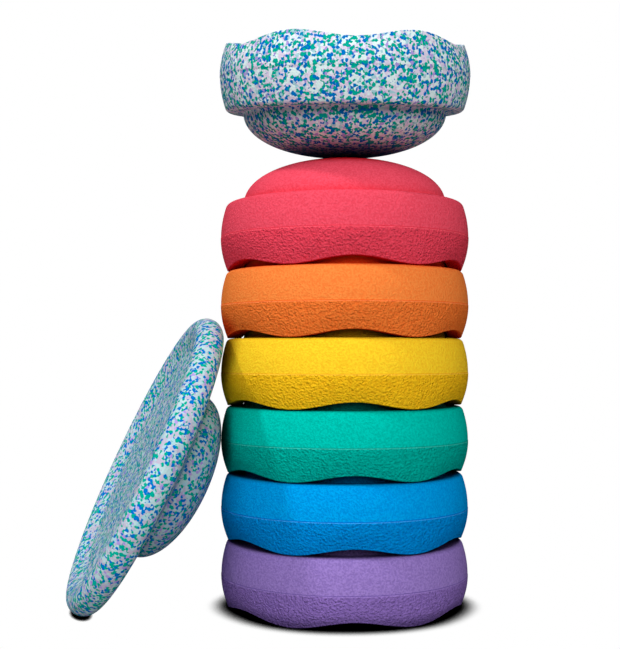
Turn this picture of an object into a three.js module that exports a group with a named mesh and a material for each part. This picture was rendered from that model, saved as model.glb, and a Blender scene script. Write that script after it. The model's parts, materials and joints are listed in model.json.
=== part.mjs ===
// A set of balance stepping stones with its round balance board, all moulded from expanded foam beads.
// Six stones stand nested on each other, a seventh rocks dome down on the highest dome, tipped towards
// the front, and the board leans on the left side of the stack. Each is one moulding with nothing inside.
// Lengths are in millimetres, +Z is up, and the front of the set faces -Y.

import * as THREE from 'three';

// Stone: dome
const domeRadius = 112;
const domeRise = 49.6;
const domeFullness = 2.1;

// Stone: ledge round the dome that carries the next stone, and its fall to the shoulder
const ledgeWidth = 20;
const ledgeRise = 9.2;

// Stone: barrel wall, widest at the belly, where the mould parts
const shoulderHeight = 65;
const bellyBulge = 5.5;
const partingHeight = 36.4;
const footInset = 7.7;
const shoulderRadius = domeRadius + ledgeWidth;
const bellyRadius = shoulderRadius + bellyBulge;
const footRadius = bellyRadius - footInset;

// Stone: hollow and lip, which passes over the dome below it
const wallThickness = 16;
const hollowCornerRadius = 7;
const lipCornerRadius = 3;
const lipClearance = 5;
const lipInnerRadius = domeRadius + lipClearance;

// Stone: wavy lower edge, with an arch near the front and feet between the arches
const waveCount = 6;
const waveHeight = 8;
const archAngle = THREE.MathUtils.degToRad(3);

// Stack
const nestedStones = [
  { name: 'purple_stone', color: 0x8365b4 },
  { name: 'blue_stone', color: 0x0082da },
  { name: 'green_stone', color: 0x00a68f },
  { name: 'yellow_stone', color: 0xf6c522 },
  { name: 'orange_stone', color: 0xf07132 },
  { name: 'red_stone', color: 0xe64157 },
];
const rockingStone = { name: 'speckled_stone', color: 0xcfdfe2 };
const rockTip = THREE.MathUtils.degToRad(7.5);
const contactGap = 0.3;

// Board: round rim, dished face and dome on its underside
const boardRadius = 175;
const rimRadius = 16;
const dishDepth = 11;
const dishFloorRadius = 128;
const dishSag = 2;
const boardDomeRadius = 96;
const boardDomeDrop = 28;
const boardDomeRise = 45;
const boardDomeFullness = 2.1;

// Board: how it leans on the stack, and how far its centre lies in front of the stack's axis
const boardTurn = THREE.MathUtils.degToRad(13.5);
const boardForward = 30;
const leanGap = 0.05;
const boardColor = 0xc2dadd;

// Facets
const segmentsPerWave = 8;
const segments = waveCount * segmentsPerWave;
const segmentAngle = 2 * Math.PI / segments;
const firstAngle = archAngle - segmentAngle / 2;
const foamRoughness = 0.85;

// Outside radius of the barrel wall at a height: two parabolas that meet at the belly.
function wallRadius(height) {
  const below = height < partingHeight;
  const endRadius = below ? footRadius : shoulderRadius;
  const endHeight = below ? 0 : shoulderHeight;
  const share = (height - partingHeight) / (endHeight - partingHeight);
  return bellyRadius - (bellyRadius - endRadius) * share ** 2;
}

// Height of the rounded shoulder and ledge at a radius: a quarter of an ellipse, level at the dome.
function ledgeHeight(radius) {
  const share = (radius - domeRadius) / ledgeWidth;
  return shoulderHeight + ledgeRise * Math.sqrt(1 - share ** 2);
}

// Quarter of a superellipse from its widest ring, at turn 0, to its pole on the axis, at turn 1.
function domePoint(radius, rise, fullness, turn) {
  const angle = turn * Math.PI / 2;
  return new THREE.Vector2(
    turn === 1 ? 0 : radius * Math.cos(angle) ** (2 / fullness),
    rise * Math.sin(angle) ** (2 / fullness),
  );
}

// Turn at which a dome slopes at an angle.
function turnAtSlope(radius, rise, fullness, slope) {
  const steepness = Math.tan(slope) * radius / rise;
  const angle = Math.atan(steepness ** (-fullness / (2 * (fullness - 1))));
  return angle / (Math.PI / 2);
}

// Point of a stone's dome where the tipped stone and the one below it meet: both slope by half the tip.
function rockingPoint() {
  const turn = turnAtSlope(domeRadius, domeRise, domeFullness, rockTip / 2);
  const point = domePoint(domeRadius, domeRise, domeFullness, turn);
  return point.add(new THREE.Vector2(0, ledgeHeight(domeRadius)));
}

// Outline of a stone, from the hollow's pole down the inside to the lip, and up the outside to the top.
// One ring of the dome is the one that it rocks on.
function stoneProfile() {
  const points = [];
  const hollowRadius = domeRadius - wallThickness;
  const hollowLedge = shoulderHeight + ledgeRise - wallThickness;
  const hollowTurnShares = [1, 0.66, 0.32, 0];
  for (const turn of hollowTurnShares) {
    const point = domePoint(hollowRadius, domeRise, domeFullness, turn);
    points.push(point.add(new THREE.Vector2(0, hollowLedge)));
  }
  const hollowWallTop = hollowLedge - hollowCornerRadius;
  const hollowWallRadius = wallRadius(hollowWallTop) - wallThickness;
  points.push(new THREE.Vector2(hollowWallRadius - hollowCornerRadius, hollowLedge));
  points.push(new THREE.Vector2(hollowWallRadius, hollowWallTop));
  points.push(new THREE.Vector2(bellyRadius - wallThickness, partingHeight));
  points.push(new THREE.Vector2(lipInnerRadius, 0));

  points.push(new THREE.Vector2(wallRadius(lipCornerRadius) - lipCornerRadius, 0));
  points.push(new THREE.Vector2(wallRadius(lipCornerRadius), lipCornerRadius));
  points.push(new THREE.Vector2(wallRadius(partingHeight / 2), partingHeight / 2));
  points.push(new THREE.Vector2(wallRadius(partingHeight), partingHeight));
  const wallMiddle = (partingHeight + shoulderHeight) / 2;
  points.push(new THREE.Vector2(wallRadius(wallMiddle), wallMiddle));
  points.push(new THREE.Vector2(shoulderRadius, shoulderHeight));
  const roundShare = 0.86;
  const roundRadius = domeRadius + ledgeWidth * roundShare;
  points.push(new THREE.Vector2(roundRadius, ledgeHeight(roundRadius)));
  points.push(new THREE.Vector2(lipInnerRadius, ledgeHeight(lipInnerRadius)));
  const domeTurnShares = [0, 0.2, 0.45, 0.7];
  for (const turn of domeTurnShares) {
    const point = domePoint(domeRadius, domeRise, domeFullness, turn);
    points.push(point.add(new THREE.Vector2(0, ledgeHeight(domeRadius))));
  }
  points.push(rockingPoint());
  points.push(new THREE.Vector2(0, ledgeHeight(domeRadius) + domeRise));
  return points;
}

// Solid of revolution about +Z. Angles are counted from the front, -Y, towards +X.
function revolve(profile, startAngle) {
  const geometry = new THREE.LatheGeometry(profile, segments, startAngle);
  return geometry.rotateX(Math.PI / 2);
}

// Raises the lower half of a stone into arches. The rise is a cosine round the edge, it fades out at
// the parting line, and it is nought on the facets of the feet, which stay level.
function raiseArches(geometry) {
  const place = geometry.getAttribute('position');
  const footLevel = Math.cos(Math.PI / segmentsPerWave);
  for (let index = 0; index < place.count; index += 1) {
    const height = place.getZ(index);
    if (height < partingHeight) {
      const angle = Math.atan2(place.getX(index), -place.getY(index)) - archAngle;
      const wave = (Math.cos(waveCount * angle) + footLevel) / 2;
      place.setZ(index, height + waveHeight * wave * (1 - height / partingHeight));
    }
  }
  geometry.computeVertexNormals();
  return geometry;
}

function foam(color) {
  return new THREE.MeshStandardMaterial({ color, roughness: foamRoughness, metalness: 0 });
}

function makeStone({ name, color }) {
  const geometry = raiseArches(revolve(stoneProfile(), firstAngle));
  const stone = new THREE.Mesh(geometry, foam(color));
  stone.name = name;
  return stone;
}

// The stone that is turned over, dome on dome, over a stone that stands at a height. It tips towards the
// front, and its arches are above those of the stack. The contact gap is kept along the common normal.
function makeRockingStone(height) {
  const stone = makeStone(rockingStone);
  stone.rotation.z = -2 * archAngle;
  const turnedOver = new THREE.Group();
  turnedOver.rotation.x = Math.PI + rockTip;
  turnedOver.add(stone);
  const point = rockingPoint();
  const own = new THREE.Vector3(0, point.x, point.y).applyEuler(turnedOver.rotation);
  const normal = new THREE.Vector3(0, -Math.sin(rockTip / 2), Math.cos(rockTip / 2));
  turnedOver.position.set(0, -point.x, height + point.y).sub(own);
  turnedOver.position.addScaledVector(normal, contactGap);
  return turnedOver;
}

// Outline of the board's dome, from its pole to its widest ring, at the flat underside.
function boardDomeOutline() {
  const domeTurnShares = [1, 0.74, 0.52, 0.26, 0];
  return domeTurnShares.map((turn) => {
    const point = domePoint(boardDomeRadius, boardDomeRise, boardDomeFullness, turn);
    return new THREE.Vector2(point.x, -boardDomeDrop - point.y);
  });
}

// Angle between the leaning board and the upright: that of the line that touches its rim and its dome,
// so the stack meets both.
function leanAngle() {
  const rimCentre = boardRadius - rimRadius;
  const slopes = boardDomeOutline().map((point) => {
    const across = rimCentre - point.x;
    const deep = -point.y;
    return Math.acos(rimRadius / Math.hypot(across, deep)) - Math.atan2(across, deep);
  });
  return Math.max(...slopes);
}

// Outline of the board, from the dome's pole out over the rim and back over the dished face. A point
// of the rim's section is on the line straight down from its centre when the board leans.
function boardProfile(lean) {
  const rimCentre = boardRadius - rimRadius;
  const points = [...boardDomeOutline(), new THREE.Vector2(rimCentre, -rimRadius)];
  const rimStep = Math.PI / 6;
  for (let step = -1; step <= 3; step += 1) {
    const angle = step * rimStep - lean;
    const out = rimCentre + rimRadius * Math.cos(angle);
    points.push(new THREE.Vector2(out, rimRadius * Math.sin(angle)));
  }
  points.push(new THREE.Vector2(rimCentre, rimRadius));
  const slopeShare = 0.5;
  const slopeRadius = THREE.MathUtils.lerp(dishFloorRadius, rimCentre, slopeShare);
  points.push(new THREE.Vector2(slopeRadius, rimRadius - dishDepth * (1 - slopeShare)));
  points.push(new THREE.Vector2(dishFloorRadius, rimRadius - dishDepth));
  points.push(new THREE.Vector2(0, rimRadius - dishDepth - dishSag));
  return points;
}

// Corners of the stack's outline, seen from above: those of the bellies' rings.
function stackCorners() {
  const corners = [];
  for (let step = 0; step <= segments; step += 1) {
    const angle = firstAngle + step * segmentAngle;
    corners.push(new THREE.Vector2(Math.sin(angle), -Math.cos(angle)).multiplyScalar(bellyRadius));
  }
  return corners;
}

// Least distance along X from one edge to another, both seen from above, where they pass each other.
function distanceAlongX(start, end, otherStart, otherEnd) {
  const low = Math.max(Math.min(start.y, end.y), Math.min(otherStart.y, otherEnd.y));
  const high = Math.min(Math.max(start.y, end.y), Math.max(otherStart.y, otherEnd.y));
  if (low >= high || start.y === end.y || otherStart.y === otherEnd.y) {
    return Infinity;
  }
  const distances = [low, high].map((y) => {
    const here = THREE.MathUtils.mapLinear(y, start.y, end.y, start.x, end.x);
    const there = THREE.MathUtils.mapLinear(y, otherStart.y, otherEnd.y, otherStart.x, otherEnd.x);
    return there - here;
  });
  return Math.min(...distances);
}

// The board stands on the lowest point of its rim. It is slid sideways until, seen from above, it is the
// lean gap away from the stack's bellies, so that no stone meets it when it is lifted.
function makeBoard() {
  const boardLean = leanAngle();
  const board = new THREE.Mesh(revolve(boardProfile(boardLean), 0), foam(boardColor));
  board.name = 'balance_board';
  const lean = new THREE.Group();
  lean.rotation.y = boardLean - Math.PI / 2;
  lean.add(board);
  const turn = new THREE.Group();
  turn.rotation.z = boardTurn;
  turn.position.y = -boardForward;
  turn.add(lean);
  turn.updateMatrixWorld(true);

  const places = board.geometry.toNonIndexed().applyMatrix4(board.matrixWorld).getAttribute('position');
  const stack = stackCorners();
  let lowest = Infinity;
  let slide = Infinity;
  const start = new THREE.Vector3();
  const end = new THREE.Vector3();
  for (let index = 0; index < places.count; index += 1) {
    const following = index % 3 === 2 ? index - 2 : index + 1;
    start.fromBufferAttribute(places, index);
    end.fromBufferAttribute(places, following);
    lowest = Math.min(lowest, start.z);
    for (let side = 0; side < segments; side += 1) {
      slide = Math.min(slide, distanceAlongX(start, end, stack[side], stack[side + 1]));
    }
  }
  turn.position.x = slide - leanGap;
  turn.position.z = -lowest;
  return turn;
}

const set = new THREE.Group();
const pitch = ledgeHeight(lipInnerRadius) + contactGap;
nestedStones.forEach((stone, index) => {
  const nested = makeStone(stone);
  nested.position.z = index * pitch;
  set.add(nested);
});

set.add(makeRockingStone((nestedStones.length - 1) * pitch));
set.add(makeBoard());

// The origin is the middle of the set's footprint, on the floor.
set.updateMatrixWorld(true);
const bounds = new THREE.Box3().setFromObject(set, true);
const middle = bounds.getCenter(new THREE.Vector3());
set.position.set(-middle.x, -middle.y, -bounds.min.z);

export default set;
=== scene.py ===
"""A set of foam balance stones, nested in a stack, with one turned over and tipped on top, and a board
that leans on it.

Each stone, and the board, is one moulding of fused foam beads. Lengths are in metres, +Z is up and the
front of the set faces -Y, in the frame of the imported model. Angles round an axis are counted from the
front, -Y, towards +X.
"""

import json
import math

import bpy
import numpy as np
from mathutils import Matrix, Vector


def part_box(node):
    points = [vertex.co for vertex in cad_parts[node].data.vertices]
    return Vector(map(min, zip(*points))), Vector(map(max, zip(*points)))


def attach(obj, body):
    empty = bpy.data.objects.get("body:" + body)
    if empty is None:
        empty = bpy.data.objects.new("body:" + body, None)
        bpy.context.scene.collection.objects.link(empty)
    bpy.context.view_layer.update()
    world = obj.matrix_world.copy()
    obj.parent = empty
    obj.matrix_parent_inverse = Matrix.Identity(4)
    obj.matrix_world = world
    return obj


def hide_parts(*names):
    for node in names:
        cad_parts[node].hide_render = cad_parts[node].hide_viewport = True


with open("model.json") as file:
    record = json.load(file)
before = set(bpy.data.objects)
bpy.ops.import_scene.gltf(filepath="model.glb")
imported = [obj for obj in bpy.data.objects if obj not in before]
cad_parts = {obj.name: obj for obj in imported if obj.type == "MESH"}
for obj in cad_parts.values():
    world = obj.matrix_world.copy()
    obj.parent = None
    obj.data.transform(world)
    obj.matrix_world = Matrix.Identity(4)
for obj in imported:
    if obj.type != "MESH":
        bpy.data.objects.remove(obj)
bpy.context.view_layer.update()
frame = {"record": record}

MM = 0.001

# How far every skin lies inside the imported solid
SKIN_INSET = 0.25 * MM
BOARD_INSET = 0.6 * MM

# Stone: dome
DOME_RADIUS = 112 * MM
DOME_RISE = 49.6 * MM
DOME_FULLNESS = 2.1
DOME_FILLET = 2.2 * MM

# Stone: barrel wall, which curves over into the ledge, and parting line, under which the skin stands a
# little proud
BELLY_RADIUS = 137.5 * MM
LEDGE_HEIGHT = 74.2 * MM
EDGE_CORNER = 7 * MM
EDGE_SLOPE = math.radians(18)
FOOT_INSET = 7.7 * MM
PARTING_HEIGHT = 36.4 * MM
PARTING_STEP = 0.28 * MM
PARTING_STEP_HEIGHT = 0.4 * MM

# Stone: lip and hollow
LIP_CLEARANCE = 1.4 * MM
LIP_OUTER_CORNER = 1.8 * MM
LIP_INNER_CORNER = 2.5 * MM
WALL = 16 * MM
HOLLOW_CORNER = 7 * MM

# Stone: arches of the lower edge
WAVE_COUNT = 6
WAVE_HEIGHT = 8 * MM
ARCH_ANGLE = math.radians(3)

# Top stone: how far it tips towards the front, and its gap to the dome that it rocks on
ROCK_TIP = math.radians(7.5)
CONTACT_GAP = 0.3 * MM

EDGE_HEIGHT = LEDGE_HEIGHT - EDGE_CORNER * (1 - math.sin(EDGE_SLOPE))
EDGE_INSET = math.tan(EDGE_SLOPE) * (EDGE_HEIGHT - PARTING_HEIGHT) / 2
LIP_RADIUS = DOME_RADIUS + LIP_CLEARANCE

# Board: rim, dish and dome
BOARD_RADIUS = 175 * MM
RIM_RADIUS = 16 * MM
DISH_DEPTH = 11 * MM
DISH_FLOOR_RADIUS = 128 * MM
DISH_SAG = 2 * MM
BOARD_DOME_RADIUS = 96 * MM
BOARD_DOME_DROP = 28 * MM
BOARD_DOME_RISE = 45 * MM
BOARD_DOME_FULLNESS = 2.1
BOARD_TURN = math.radians(13.5)

# Grid steps round a piece
STONE_STEPS = 360
BOARD_STEPS = 480


# Surfaces


def wall_radius(height):
    """Outside radius of the barrel wall: two parabolas in height that meet at the parting line."""
    below = np.clip(1 - height / PARTING_HEIGHT, 0, 1)
    above = np.clip((height - PARTING_HEIGHT) / (EDGE_HEIGHT - PARTING_HEIGHT), 0, 1)
    return BELLY_RADIUS - FOOT_INSET * below ** 2 - EDGE_INSET * above ** 2


def superellipse(radius, rise, fullness, turn):
    """Quarter of a superellipse from its widest ring, at turn 0, to its pole on the axis, at turn 1. It is
    the radius times the cosine, and the rise times the sine, both to the power of two over the fullness."""
    angle = np.clip(turn, 0, 1) * math.pi / 2
    across = radius * np.clip(np.cos(angle), 0, 1) ** (2 / fullness)
    return np.stack([np.where(turn >= 1, 0.0, across), rise * np.sin(angle) ** (2 / fullness)], axis=1)


def arc(centre, radius, start, end, points):
    """Points on a circle from one angle to another, in degrees, counted from straight out towards up."""
    angle = np.radians(np.linspace(start, end, points))
    return np.stack([centre[0] + radius * np.cos(angle), centre[1] + radius * np.sin(angle)], axis=1)


def line(start, end, points):
    """Points on a straight line, without its ends."""
    share = np.linspace(0, 1, points + 2)[1:-1, None]
    return np.array(start) * (1 - share) + np.array(end) * share


def stone_outline():
    """Outline of a stone as (radius, height): from the hollow's pole down the inside to the lip, round
    it, up the barrel wall over the parting line to the ledge, and up the dome to its pole."""
    hollow_top = LEDGE_HEIGHT - WALL
    hollow_dome = superellipse(DOME_RADIUS - WALL, DOME_RISE, DOME_FULLNESS, np.linspace(1, 0, num=34))
    hollow_dome[:, 1] += hollow_top
    wall_top = hollow_top - HOLLOW_CORNER
    hollow_wall = float(wall_radius(np.array(wall_top))) - WALL
    corner = arc((hollow_wall - HOLLOW_CORNER, wall_top), HOLLOW_CORNER, 90, 0, points=8)
    parting_inside = (BELLY_RADIUS - WALL, PARTING_HEIGHT)
    lip_inside = (LIP_RADIUS, LIP_INNER_CORNER)
    lip_inner_middle = (LIP_RADIUS + LIP_INNER_CORNER, LIP_INNER_CORNER)
    lip_inner = arc(lip_inner_middle, LIP_INNER_CORNER, 180, 270, points=7)
    outer_edge = float(wall_radius(np.array(LIP_OUTER_CORNER)))
    lip_outer_middle = (outer_edge - LIP_OUTER_CORNER, LIP_OUTER_CORNER)
    lip_outer = arc(lip_outer_middle, LIP_OUTER_CORNER, -90, 0, points=9)

    low = np.linspace(LIP_OUTER_CORNER, PARTING_HEIGHT, num=22)[1:]
    low_wall = np.stack([wall_radius(low), low], axis=1)
    high = np.linspace(PARTING_HEIGHT + PARTING_STEP_HEIGHT, EDGE_HEIGHT, num=20)
    high_wall = np.stack([wall_radius(high) - PARTING_STEP, high], axis=1)
    edge_middle = (BELLY_RADIUS - PARTING_STEP - EDGE_INSET - EDGE_CORNER * math.cos(EDGE_SLOPE),
                   LEDGE_HEIGHT - EDGE_CORNER)
    edge = arc(edge_middle, EDGE_CORNER, math.degrees(EDGE_SLOPE), 90, points=14)[1:]

    dome = superellipse(DOME_RADIUS, DOME_RISE, DOME_FULLNESS, np.linspace(0, 1, num=46))
    dome[:, 1] += LEDGE_HEIGHT
    dome = dome[dome[:, 1] > LEDGE_HEIGHT + DOME_FILLET]
    fillet_middle = (DOME_RADIUS + DOME_FILLET, LEDGE_HEIGHT + DOME_FILLET)
    fillet = arc(fillet_middle, DOME_FILLET, 270, 180, points=6)
    ledge = line(edge[-1], fillet[0], points=3)
    return np.concatenate([
        hollow_dome,
        line(hollow_dome[-1], corner[0], points=5),
        corner,
        line(corner[-1], parting_inside, points=3),
        line(parting_inside, lip_inside, points=8),
        lip_inner,
        line(lip_inner[-1], lip_outer[0], points=3),
        lip_outer,
        low_wall,
        high_wall,
        edge,
        ledge,
        fillet,
        dome,
    ])


def inset(outline, depth):
    """The same outline moved inwards by a depth, square to itself. Its poles stay on the axis."""
    along = np.gradient(outline, axis=0)
    along /= np.maximum(np.linalg.norm(along, axis=1), 1e-9)[:, None]
    moved = outline + depth * np.stack([-along[:, 1], along[:, 0]], axis=1)
    moved[[0, -1], 0] = 0
    return moved


def make_surface(name, rings):
    """Closed mesh from rings of points, an array of (ring, step round, xyz). Its first and last rings are
    poles: all the points of each are one vertex."""
    count, steps, _ = rings.shape
    body = rings[1:-1].reshape(-1, 3)
    points = np.concatenate([rings[0, :1], body, rings[-1, :1]])
    step = np.arange(steps)
    after = (step + 1) % steps
    ring = 1 + np.arange(count - 3)[:, None] * steps
    quads = np.stack([ring + step, ring + after, ring + steps + after, ring + steps + step], axis=2)
    first = np.stack([np.zeros(steps, int), 1 + after, 1 + step], axis=1)
    last_ring = 1 + (count - 3) * steps
    last = np.stack([last_ring + step, last_ring + after, np.full(steps, len(points) - 1)], axis=1)
    mesh = bpy.data.meshes.new(name)
    mesh.from_pydata(points, [], first.tolist() + quads.reshape(-1, 4).tolist() + last.tolist())
    mesh.polygons.foreach_set("use_smooth", np.ones(len(mesh.polygons), bool))
    mesh.update()
    piece = bpy.data.objects.new(name, mesh)
    bpy.context.collection.objects.link(piece)
    return piece


def standing(node):
    """Where an upright stone stands: the middle of its feet, and the way from there to its dome."""
    low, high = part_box(node)
    return np.array([(low[0] + high[0]) / 2, (low[1] + high[1]) / 2, low[2]]), np.array([0.0, 0.0, 1.0])


def rocking(node):
    """Where the stone that is turned over on another lies: the middle of its feet, and the way from there
    to its dome. Both domes slope by half the tip where they meet. On a superellipse the slope is rise over
    radius, times the share across over the share up to the power of the fullness less one."""
    below, _ = standing(node)
    half = ROCK_TIP / 2
    across_over_up = (math.tan(half) * DOME_RADIUS / DOME_RISE) ** (1 / (DOME_FULLNESS - 1))
    up_share = (1 + across_over_up ** DOME_FULLNESS) ** (-1 / DOME_FULLNESS)
    across = DOME_RADIUS * across_over_up * up_share
    height = LEDGE_HEIGHT + DOME_RISE * up_share
    normal = np.array([0.0, -math.sin(half), math.cos(half)])
    to_dome = np.array([0.0, math.sin(ROCK_TIP), -math.cos(ROCK_TIP)])
    front = np.array([0.0, math.cos(ROCK_TIP), math.sin(ROCK_TIP)])
    meeting = below + np.array([0.0, -across, height]) + CONTACT_GAP * normal
    return meeting + across * front - height * to_dome, to_dome


def make_stone(name, feet, to_dome, arch_angle):
    """Stone as a surface of height along its outline and angle round its axis. Under the parting line a
    point rises by half the wave height times one plus the cosine of six times its angle from the front
    arch, and the rise fades evenly to nothing at the parting line. The place is the middle of the feet,
    plus the height along the axis, plus the radius times the way that the angle points."""
    outline = inset(stone_outline(), SKIN_INSET)
    radius = outline[:, :1]
    height = outline[:, 1:]
    angle = np.linspace(0, 2 * math.pi, STONE_STEPS, endpoint=False)[None, :]
    wave = WAVE_HEIGHT / 2 * (1 + np.cos(WAVE_COUNT * (angle - arch_angle)))
    level = height + wave * np.clip(1 - height / PARTING_HEIGHT, 0, 1)
    right = np.array([1.0, 0.0, 0.0])
    front = np.cross(right, to_dome)
    out = np.sin(angle)[..., None] * right + np.cos(angle)[..., None] * front
    return make_surface(name, feet + level[..., None] * to_dome + radius[..., None] * out)


def board_dome_outline(points):
    """Outline of the board's dome as (radius, height over the mid plane), from its pole to its widest
    ring."""
    turn = np.linspace(1, 0, points)
    dome = superellipse(BOARD_DOME_RADIUS, BOARD_DOME_RISE, BOARD_DOME_FULLNESS, turn)
    dome[:, 1] = -BOARD_DOME_DROP - dome[:, 1]
    return dome


def board_outline():
    """Outline of the board as (radius, height over the mid plane): out over the dome, the underside and
    the rim, and back over the dished face to its middle. The face falls from the rim by three times the
    square less twice the cube of the share of the way to its floor, and the floor sags by a sine."""
    rim_centre = BOARD_RADIUS - RIM_RADIUS
    dome = board_dome_outline(points=44)
    share = np.linspace(0, 1, num=16)[1:]
    smooth = share * share * (3 - 2 * share)
    fall = np.stack([
        rim_centre + (DISH_FLOOR_RADIUS - rim_centre) * share,
        RIM_RADIUS - DISH_DEPTH * smooth,
    ], axis=1)
    floor_share = np.linspace(0, 1, num=30)[1:]
    floor = np.stack([
        DISH_FLOOR_RADIUS * (1 - floor_share),
        RIM_RADIUS - DISH_DEPTH - DISH_SAG * np.sin(floor_share * math.pi / 2),
    ], axis=1)
    return np.concatenate([
        dome,
        line(dome[-1], (rim_centre, -RIM_RADIUS), points=12),
        arc((rim_centre, 0), RIM_RADIUS, -90, 90, points=40),
        fall,
        floor,
    ])


def board_lean():
    """Angle between the board and the upright, at which an upright line touches both its rim and its dome.
    Each point of the dome has a turn that brings it as far out as the rim reaches, and the largest of
    these turns holds."""
    points = board_dome_outline(points=200)
    across = BOARD_RADIUS - RIM_RADIUS - points[:, 0]
    deep = -points[:, 1]
    return float(np.max(np.arccos(RIM_RADIUS / np.hypot(across, deep)) - np.arctan2(across, deep)))


def make_board(name):
    """Board as a surface of place along its outline and angle round its axis. The board leans towards the
    stack, and the middle line of its rim passes through its hinge, at the foot. A place is the middle,
    plus the radius times the way that the angle points, plus the height along the axis."""
    lean = board_lean()
    side = np.array([math.cos(BOARD_TURN), math.sin(BOARD_TURN), 0.0])
    upright = np.array([0.0, 0.0, 1.0])
    up_board = math.sin(lean) * side + math.cos(lean) * upright
    face = -math.cos(lean) * side + math.sin(lean) * upright
    across = np.cross(face, up_board)
    hinge = next(j for j in frame["record"]["behaviour"]["joints"] if j["name"] == "board_tip")
    centre = np.array(hinge["pos_m"]) + (BOARD_RADIUS - RIM_RADIUS) * up_board
    outline = inset(board_outline(), BOARD_INSET)
    angle = np.linspace(0, 2 * math.pi, BOARD_STEPS, endpoint=False)
    out = np.cos(angle)[:, None] * up_board + np.sin(angle)[:, None] * across
    rings = centre + outline[:, :1, None] * out[None] + outline[:, 1:, None] * face
    return make_surface(name, rings)


# Materials


def linear(code):
    """Linear colour of an sRGB hex code."""
    parts = [int(code[i:i + 2], 16) / 255 for i in (0, 2, 4)]
    return tuple(p / 12.92 if p <= 0.04045 else ((p + 0.055) / 1.055) ** 2.4 for p in parts) + (1.0,)


def add(tree, kind, sources=None, **settings):
    """Adds a node and gives its outputs. A source is a socket, which is linked, or a constant, which is
    set on the node's own socket."""
    node = tree.nodes.new(f"ShaderNode{kind}")
    for name, value in settings.items():
        setattr(node, name, value)
    for socket, value in (sources or {}).items():
        if isinstance(value, bpy.types.NodeSocket):
            tree.links.new(value, node.inputs[socket])
        else:
            node.inputs[socket].default_value = value
    return node.outputs


def new_material(name):
    """Empty material, its tree of nodes, and the place of a point on the piece, in metres."""
    material = bpy.data.materials.new(name)
    material.use_nodes = True
    tree = material.node_tree
    tree.nodes.clear()
    place = add(tree, "TexCoord")["Object"]
    return material, tree, place


# Share of open sky over the skin at which its painted shade starts and is full, and the most of it
CORNER_SHADE_OPEN = (1.0, 0.1)
CORNER_SHADE_SHARE = 0.9


def finish_foam(tree, colour, deep, reach, height):
    """Matt foam skin: bumps with heights in metres, and painted shade, a deep colour, in its narrow
    corners, which is felt up to a reach from them."""
    # Painted shade: the colour turns to the deep colour where little open sky is over the skin, in its
    # narrow corners
    open_sky = add(tree, "AmbientOcclusion", {"Distance": reach}, samples=8)["AO"]
    corner = add(tree, "MapRange", {
        "Value": open_sky,
        "From Min": CORNER_SHADE_OPEN[0],
        "From Max": CORNER_SHADE_OPEN[1],
        "To Max": CORNER_SHADE_SHARE,
    }, interpolation_type="SMOOTHSTEP")[0]
    bump = add(tree, "Bump", {"Height": height, "Distance": 1.0, "Strength": 1.0})["Normal"]
    skin = add(tree, "BsdfPrincipled", {
        "Base Color": add(tree, "Mix", {0: corner, 6: colour, 7: deep}, data_type="RGBA")[2],
        "Roughness": 0.8,
        "Specular IOR Level": 0.0,
        "Normal": bump,
    })["BSDF"]
    add(tree, "OutputMaterial", {"Surface": skin})


def above_parting(tree, place, feet, to_dome):
    """Height over a stone's parting line, in metres: the place times the way to the dome, less that of the
    parting line."""
    parting = float(np.dot(feet, to_dome)) + PARTING_HEIGHT
    along = add(tree, "VectorMath", {0: place, 1: to_dome}, operation="DOT_PRODUCT")["Value"]
    return add(tree, "Math", {0: along, 1: parting}, operation="SUBTRACT")[0]


# Thin line round a stone: half its width where it ends, and where it is full
LINE_REACH = 0.6 * MM
LINE_CORE = 0.3 * MM


def line_share(tree, above, height, share):
    """A share on a thin line at a height over the parting line, fading to 0 off it."""
    past = add(tree, "Math", {0: above, 1: height}, operation="SUBTRACT")[0]
    off_line = add(tree, "Math", {0: past}, operation="ABSOLUTE")[0]
    return add(tree, "MapRange", {
        "Value": off_line,
        "From Min": LINE_REACH,
        "From Max": LINE_CORE,
        "To Max": share,
    }, interpolation_type="SMOOTHSTEP")[0]


def relief(tree, texture, height):
    """Bumps with a height in metres, as deep under the skin as they stand over it."""
    either_way = add(tree, "Math", {0: texture, 1: 0.5}, operation="SUBTRACT")[0]
    return add(tree, "Math", {0: either_way, 1: height}, operation="MULTIPLY")[0]


def skin_relief(tree, place, grain, grain_height, twist, bead, bead_height):
    """Height of a foam skin, in metres, and its grain from 0 to 1. Beads stand highest in the middle, where
    the distance from a cell's middle is least, so their height counts down."""
    rough = add(tree, "TexNoise", {
        "Vector": place,
        "Scale": 1 / grain,
        "Detail": 3,
        "Distortion": twist,
    })["Fac"]
    from_middle = add(tree, "TexVoronoi", {"Vector": place, "Scale": 1 / bead})["Distance"]
    grains = relief(tree, rough, grain_height)
    beads = relief(tree, from_middle, -bead_height)
    return add(tree, "Math", {0: grains, 1: beads}, operation="ADD")[0], rough


# Sizes and heights of the grain and the beads in the foam's skin, and how far the grain is twisted. On the
# smooth half the beads are pressed flat and show faintly. On the coarse half each is a small close knob.
SMOOTH_SKIN = {
    "grain": 2.1 * MM,
    "grain_height": 1.2 * MM,
    "twist": 0.0,
    "bead": 3.4 * MM,
    "bead_height": 0.2 * MM,
}
COARSE_SKIN = {
    "grain": 2.3 * MM,
    "grain_height": 3.8 * MM,
    "twist": 0.2,
    "bead": 2.4 * MM,
    "bead_height": 1.1 * MM,
}

# Where the skin turns coarse, as heights over the parting line: start and end of its colour, and end of its
# relief
COARSE_START = 0.2 * MM
COARSE_COLOUR_END = -0.2 * MM
COARSE_RELIEF_END = -1.8 * MM

# The painted shade over the crease and the painted highlight on the step's edge under it: their heights
# over the parting line, their shares, and how much paler than the upper half the highlight is
CREASE_HEIGHT = 0.5 * MM
CREASE_SHADE_SHARE = 0.6
HIGHLIGHT_HEIGHT = -0.4 * MM
HIGHLIGHT_SHARE = 0.1
HIGHLIGHT_LIFT = 0.3
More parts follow.
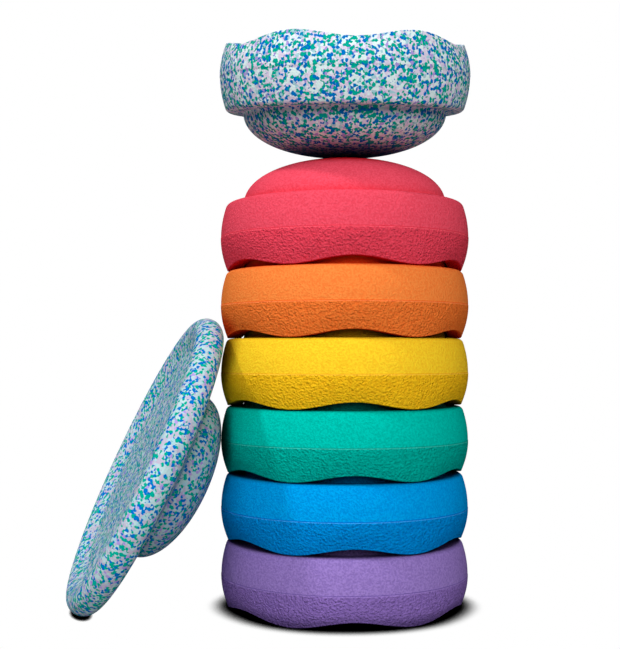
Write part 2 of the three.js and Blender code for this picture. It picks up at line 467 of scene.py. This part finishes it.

# Painted shade in the pits of the grain: the grain's value at which it starts and is full, and the most of
# it
SMOOTH_PITS = (0.62, 0.38)
COARSE_PITS = (0.6, 0.36)
PIT_SHADE_SHARE = 0.3

# How far the painted shade in the narrow corners of a one-colour stone reaches
STONE_CORNER_SHADE = 20 * MM


# Moulded EPP foam, dyed through. The mould leaves the upper half even and faintly grainy, and the lower
# half full of small close knobs; the lower half is drawn in a deeper colour. Painted shade darkens the pits
# of the grain on both halves. At the parting line a thin painted shade lies over the crease, and a thin
# painted highlight on the edge of the step under it.
def coloured_foam(name, codes, feet, to_dome):
    material, tree, place = new_material(name)
    upper, lower, dark, deep = (linear(code) for code in codes)
    above = above_parting(tree, place, feet, to_dome)
    coarse = add(tree, "MapRange", {
        "Value": above,
        "From Min": COARSE_START,
        "From Max": COARSE_COLOUR_END,
    }, interpolation_type="SMOOTHSTEP")[0]
    coarse_relief = add(tree, "MapRange", {
        "Value": above,
        "From Min": COARSE_START,
        "From Max": COARSE_RELIEF_END,
    }, interpolation_type="SMOOTHSTEP")[0]
    smooth_height, smooth_grain = skin_relief(tree, place, **SMOOTH_SKIN)
    coarse_height, coarse_grain = skin_relief(tree, place, **COARSE_SKIN)
    height = add(tree, "Mix", {0: coarse_relief, 2: smooth_height, 3: coarse_height}, data_type="FLOAT")[0]

    # Painted shade: the colour darkens to the dark colour in the pits of the grain
    smooth_pit_shade = add(tree, "MapRange", {
        "Value": smooth_grain,
        "From Min": SMOOTH_PITS[0],
        "From Max": SMOOTH_PITS[1],
        "To Max": PIT_SHADE_SHARE,
    }, interpolation_type="SMOOTHSTEP")[0]
    coarse_pit_shade = add(tree, "MapRange", {
        "Value": coarse_grain,
        "From Min": COARSE_PITS[0],
        "From Max": COARSE_PITS[1],
        "To Max": PIT_SHADE_SHARE,
    }, interpolation_type="SMOOTHSTEP")[0]
    depth = add(tree, "Mix", {0: coarse, 2: smooth_pit_shade, 3: coarse_pit_shade}, data_type="FLOAT")[0]
    colour = add(tree, "Mix", {0: coarse, 6: upper, 7: lower}, data_type="RGBA")[2]
    colour = add(tree, "Mix", {0: depth, 6: colour, 7: dark}, data_type="RGBA")[2]

    # Painted shade: a thin dark line over the crease at the parting line
    crease_shade = line_share(tree, above, CREASE_HEIGHT, CREASE_SHADE_SHARE)
    colour = add(tree, "Mix", {0: crease_shade, 6: colour, 7: dark}, data_type="RGBA")[2]
    # Painted highlight: a thin pale line on the edge of the step under the parting line
    painted_highlight = line_share(tree, above, HIGHLIGHT_HEIGHT, HIGHLIGHT_SHARE)
    pale = tuple(part + HIGHLIGHT_LIFT * (1 - part) for part in upper)
    colour = add(tree, "Mix", {0: painted_highlight, 6: colour, 7: pale}, data_type="RGBA")[2]
    finish_foam(tree, colour, deep, STONE_CORNER_SHADE, height)
    return material


# Mixed beads: how wide a bead is, how wide the bends in its outline are and how far they go, and how wide
# the crowds of beads and the drifts of the ground between them are
MIXED_BEAD = 3.2 * MM
BEND_WIDTH = 3 * MM
BEND = 1.5 * MM
CROWD_WIDTH = 6 * MM
DRIFT_WIDTH = 9 * MM

# Every bead has three picks from 0 to 1. The first, pulled up where beads crowd, makes it inked. The second
# sets its tone, and shifts the drift of its ground. The third makes it an odd one.
CROWD_PULL = 0.7
TONE_SHIFT = 0.3

# Where each choice starts and is full: lilac ground, an inked bead, its round edge as a share of the bead,
# and teal ink in place of blue
LILAC = (0.62, 0.70)
INKED = (0.80, 0.82)
ROUND_EDGE = (0.74, 0.66)
TEAL = (0.42, 0.44)

# Odd beads in the ground: where each choice starts and is full, and the bead's colour
ODD_BEADS = [
    (0.88, 0.90, "a8d4df"),
    (0.10, 0.08, "b09ade"),
]
BLUE_INK = "0074c8"
TEAL_INK = "00ab96"


def speckle_colour(tree, place, pale, lilac):
    """Fused beads of mixed colours, as cells with bent outlines. Blue and teal ones are round, and crowd
    together into short winding chains. The ground between them drifts from a pale colour to a lilac one."""
    warp = add(tree, "TexNoise", {"Vector": place, "Scale": 1 / BEND_WIDTH, "Detail": 0.0})["Color"]
    either_way = add(tree, "VectorMath", {0: warp, 1: (0.5, 0.5, 0.5)}, operation="SUBTRACT")[0]
    bend = add(tree, "VectorMath", {0: either_way, "Scale": BEND}, operation="SCALE")[0]
    bent = add(tree, "VectorMath", {0: place, 1: bend}, operation="ADD")[0]
    bead = add(tree, "TexVoronoi", {"Vector": bent, "Scale": 1 / MIXED_BEAD})
    ink_pick, tone_pick, odd_pick = add(tree, "SeparateColor", {0: bead["Color"]})

    drift = add(tree, "TexNoise", {"Vector": place, "Scale": 1 / DRIFT_WIDTH, "Detail": 1.0})["Fac"]
    tone = add(tree, "Math", {0: tone_pick, 1: TONE_SHIFT}, operation="MULTIPLY")[0]
    lilac_share = add(tree, "MapRange", {
        "Value": add(tree, "Math", {0: tone, 1: drift}, operation="ADD")[0],
        "From Min": LILAC[0],
        "From Max": LILAC[1],
    }, interpolation_type="SMOOTHSTEP")[0]
    ground = add(tree, "Mix", {0: lilac_share, 6: linear(pale), 7: linear(lilac)}, data_type="RGBA")[2]
    for start, full, code in ODD_BEADS:
        odd = add(tree, "MapRange", {
            "Value": odd_pick,
            "From Min": start,
            "From Max": full,
        }, interpolation_type="SMOOTHSTEP")[0]
        ground = add(tree, "Mix", {0: odd, 6: ground, 7: linear(code)}, data_type="RGBA")[2]

    crowd = add(tree, "TexNoise", {"Vector": place, "Scale": 1 / CROWD_WIDTH, "Detail": 0.0})["Fac"]
    drawn = add(tree, "Math", {0: crowd, 1: CROWD_PULL}, operation="MULTIPLY")[0]
    inked = add(tree, "MapRange", {
        "Value": add(tree, "Math", {0: ink_pick, 1: drawn}, operation="ADD")[0],
        "From Min": INKED[0],
        "From Max": INKED[1],
    }, interpolation_type="SMOOTHSTEP")[0]
    inside = add(tree, "MapRange", {
        "Value": bead["Distance"],
        "From Min": ROUND_EDGE[0],
        "From Max": ROUND_EDGE[1],
    }, interpolation_type="SMOOTHSTEP")[0]
    teal_share = add(tree, "MapRange", {
        "Value": tone_pick,
        "From Min": TEAL[0],
        "From Max": TEAL[1],
    }, interpolation_type="SMOOTHSTEP")[0]
    ink = add(tree, "Mix", {0: teal_share, 6: linear(BLUE_INK), 7: linear(TEAL_INK)}, data_type="RGBA")[2]
    ink_share = add(tree, "Math", {0: inked, 1: inside}, operation="MULTIPLY")[0]
    return add(tree, "Mix", {0: ink_share, 6: ground, 7: ink}, data_type="RGBA")[2]


# Moulded EPP foam from mixed beads: pale and matt, with blue and teal specks as small as the beads, and
# painted shade, a deep colour, in its narrow corners
def speckled_foam(name, pale, lilac, deep, reach):
    material, tree, place = new_material(name)
    height, _ = skin_relief(tree, place, **SMOOTH_SKIN)
    finish_foam(tree, speckle_colour(tree, place, pale, lilac), linear(deep), reach, height)
    return material


# Pieces

# Each stone's colour over its parting line and under it, its painted shade in the pits and on the crease,
# and its painted shade in its narrow corners
STONES = {
    "purple": ("957ac0", "8f70bc", "4c3280", "140c2c"),
    "blue": ("009ce2", "008edc", "0044b0", "001438"),
    "green": ("00c0b0", "00b2a2", "007668", "00241e"),
    "yellow": ("fbd22c", "ffc81e", "e88c00", "603400"),
    "orange": ("f68b41", "fa8036", "ec4804", "e82000"),
    "red": ("ef5267", "f54a60", "d01028", "dc0400"),
}

# Pale and lilac colours of the mixed beads, the deep colour of the painted shade in their narrow corners,
# and how far it reaches. The board's mix is cooler and greyer.
TOP_STONE_FOAM = ("e0f3f4", "e0d4ea", "163470", 30 * MM)
BOARD_FOAM = ("b8d6da", "c0bad0", "1c2434", 12 * MM)

for colour, codes in STONES.items():
    node = f"{colour}_stone"
    feet, to_dome = standing(node)
    stone = make_stone(f"{colour}_foam_stone", feet, to_dome, ARCH_ANGLE)
    stone.data.materials.append(coloured_foam(f"{colour}_EPP_foam", codes, feet, to_dome))
    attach(stone, colour)
    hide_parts(node)

# Seen from above, the arches of the stone that is turned over lie over those of the others
top_stone = make_stone("speckled_foam_stone", *rocking("red_stone"), -ARCH_ANGLE)
top_stone.data.materials.append(speckled_foam("speckled_EPP_foam", *TOP_STONE_FOAM))
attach(top_stone, "speckled")
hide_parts("speckled_stone")

board = make_board("speckled_foam_board")
board.data.materials.append(speckled_foam("board_EPP_foam", *BOARD_FOAM))
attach(board, "board")
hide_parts("balance_board")


# Floor, light and camera

FLOOR_HALF = 4.0

# How near a piece the floor's painted shadow reaches, at the board and at the stack, and where between them
# that changes, in metres along X
BOARD_SHADE = 6 * MM
STACK_SHADE = 30 * MM
SHADE_CHANGE = (-0.14, -0.10)

# Share of open sky at which the floor's painted shadow turns from black to white
FLOOR_OPEN = (0.45, 0.9)

# Ring round the stack's axis, under the lowest stone's edge, across which the floor's painted shadow
# turns from black to white
PAINTED_SHADOW_RING = (126 * MM, 134 * MM)

# Grey of the floor's paint, which sets how much light it throws back up at the pieces
FLOOR_PAINT = "a0a0a0"

# Light from all round, as a share of the white that the eye sees behind the pieces
SKY_LIGHT = 0.02

# Parallel lights: strength, and in degrees spread, azimuth from the front towards +X, and elevation
LAMPS = {
    "key": (1.42, 6, -68, 55),
    "front_left": (1.1, 35, -8, 36),
    "front_right": (1.85, 35, 9, 22),
    "back": (0.5, 35, 165, 15),
}

# Camera: focal length and film width in mm, how far the view is shifted up, as a share of the film's
# width, where it stands from the stack's foot, and how far it looks down
FOCAL_LENGTH = 63.85
FILM_WIDTH = 36
SHIFT_UP = 0.0763
CAMERA_PLACE = (-38.2 * MM, -1284.8 * MM, 278.6 * MM)
LOOK_DOWN = math.radians(0.947)

low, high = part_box("purple_stone")
stack_foot = ((low[0] + high[0]) / 2, (low[1] + high[1]) / 2, 0.0)


def seen_directly(tree):
    """1 for what the eye sees, straight, in a gloss or through a clear part, and 0 for light that bounces
    from piece to piece."""
    path = add(tree, "LightPath")
    in_gloss = add(tree, "Math", {
        0: path["Is Glossy Ray"],
        1: path["Is Transmission Ray"],
    }, operation="MAXIMUM")[0]
    return add(tree, "Math", {0: path["Is Camera Ray"], 1: in_gloss}, operation="MAXIMUM")[0]


# White studio floor: the eye sees plain white, with painted shadow where the pieces stand close over it
def floor_paint(name):
    material, tree, place = new_material(name)
    sideways = add(tree, "SeparateXYZ", {0: place})[0]
    reach = add(tree, "MapRange", {
        "Value": sideways,
        "From Min": SHADE_CHANGE[0],
        "From Max": SHADE_CHANGE[1],
        "To Min": BOARD_SHADE,
        "To Max": STACK_SHADE,
    }, interpolation_type="SMOOTHSTEP")[0]
    # Painted shadow: the white that the eye sees fades to black where little open sky is over the floor,
    # and under the lowest stone's edge
    open_sky = add(tree, "AmbientOcclusion", {"Distance": reach}, samples=16)["AO"]
    from_axis = add(tree, "VectorMath", {0: place, 1: stack_foot}, operation="DISTANCE")["Value"]
    outside_shadow_ring = add(tree, "MapRange", {
        "Value": from_axis,
        "From Min": PAINTED_SHADOW_RING[0],
        "From Max": PAINTED_SHADOW_RING[1],
    }, interpolation_type="SMOOTHSTEP")[0]
    white = add(tree, "MapRange", {
        "Value": open_sky,
        "From Min": FLOOR_OPEN[0],
        "From Max": FLOOR_OPEN[1],
        "To Max": outside_shadow_ring,
    }, interpolation_type="SMOOTHSTEP")[0]
    seen = add(tree, "Emission", {"Color": linear("ffffff"), "Strength": white})[0]
    lit = add(tree, "BsdfDiffuse", {"Color": linear(FLOOR_PAINT)})[0]
    mixed = add(tree, "MixShader", {0: seen_directly(tree), 1: lit, 2: seen})[0]
    add(tree, "OutputMaterial", {"Surface": mixed})
    return material


floor_mesh = bpy.data.meshes.new("studio_floor")
corners = [(x * FLOOR_HALF, y * FLOOR_HALF, 0) for x, y in ((-1, -1), (1, -1), (1, 1), (-1, 1))]
floor_mesh.from_pydata(corners, [], [(0, 1, 2, 3)])
floor_mesh.materials.append(floor_paint("studio_floor_paint"))
floor = bpy.data.objects.new("studio_floor", floor_mesh)
bpy.context.collection.objects.link(floor)

world = bpy.data.worlds.new("studio")
bpy.context.scene.world = world
world.use_nodes = True
sky_tree = world.node_tree
sky_tree.nodes.clear()
strength = add(sky_tree, "Mix", {0: seen_directly(sky_tree), 2: SKY_LIGHT, 3: 1.0}, data_type="FLOAT")[0]
sky = add(sky_tree, "Background", {"Color": linear("ffffff"), "Strength": strength})[0]
add(sky_tree, "OutputWorld", {"Surface": sky})

for name, (energy, spread, azimuth, elevation) in LAMPS.items():
    light = bpy.data.lights.new(name, "SUN")
    light.energy = energy
    light.angle = math.radians(spread)
    lamp = bpy.data.objects.new(name, light)
    lamp.rotation_euler = (math.radians(90 - elevation), 0, math.radians(azimuth))
    bpy.context.collection.objects.link(lamp)

camera_data = bpy.data.cameras.new("camera")
camera_data.lens = FOCAL_LENGTH
camera_data.sensor_width = FILM_WIDTH
camera_data.shift_y = SHIFT_UP
camera = bpy.data.objects.new("camera", camera_data)
bpy.context.collection.objects.link(camera)
camera.location = [foot + offset for foot, offset in zip(stack_foot, CAMERA_PLACE)]
camera.rotation_euler = (math.pi / 2 - LOOK_DOWN, 0, 0)
bpy.context.scene.camera = camera

bpy.context.scene.view_settings.view_transform = "Standard"
